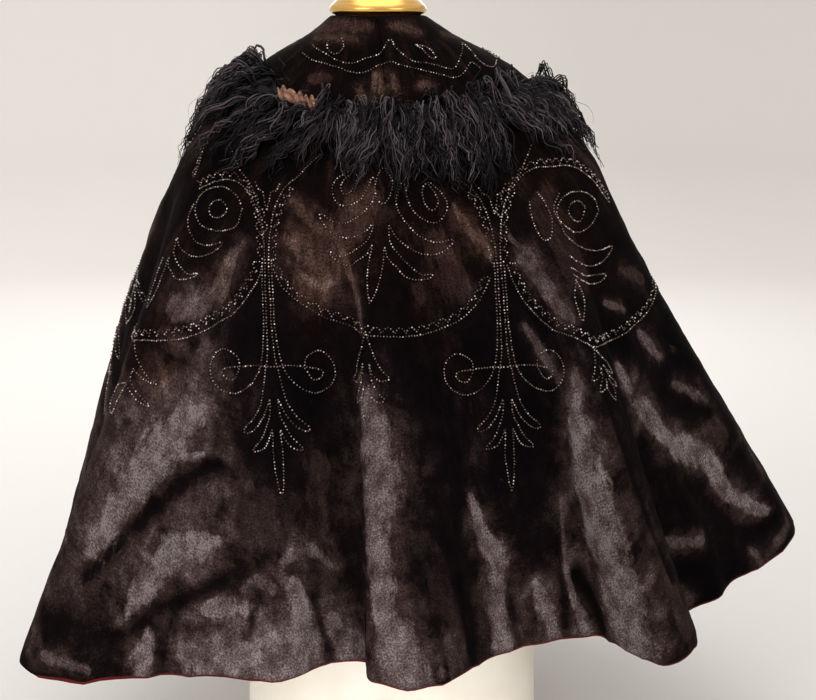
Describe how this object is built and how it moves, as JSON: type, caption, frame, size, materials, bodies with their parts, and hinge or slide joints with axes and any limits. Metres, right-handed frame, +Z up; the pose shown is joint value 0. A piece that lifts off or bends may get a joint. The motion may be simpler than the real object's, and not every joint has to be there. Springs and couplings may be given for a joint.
{
  "type": "winter cloak on a dress form",
  "caption": "Hip-length circular winter cloak of dark crushed plush, with a fur-edged shoulder collar, standing on a limbless dress form with a metal neck.",
  "frame": {"origin": "centre of the dress form's flat underside, on the floor", "axes": "+Z up; the centre back faces +Y and the front opening -Y; the wearer's left is +X"},
  "size_m": [0.9987, 0.7695, 1.098],
  "materials": {
    "plush": "crushed silk plush, near black with a grey-brown nap",
    "fur": "long curly lamb fur, charcoal",
    "linen": "off-white linen, tightly covered",
    "neck_metal": "satin brass"
  },
  "bodies": {
    "root": {"cape_back": "plush", "cape_front_left": "plush", "cape_front_right": "plush", "collar_left": "plush", "collar_right": "plush", "fur_trim": "fur", "form_body": "linen", "form_neck": "neck_metal"}
  },
  "joints": []
}
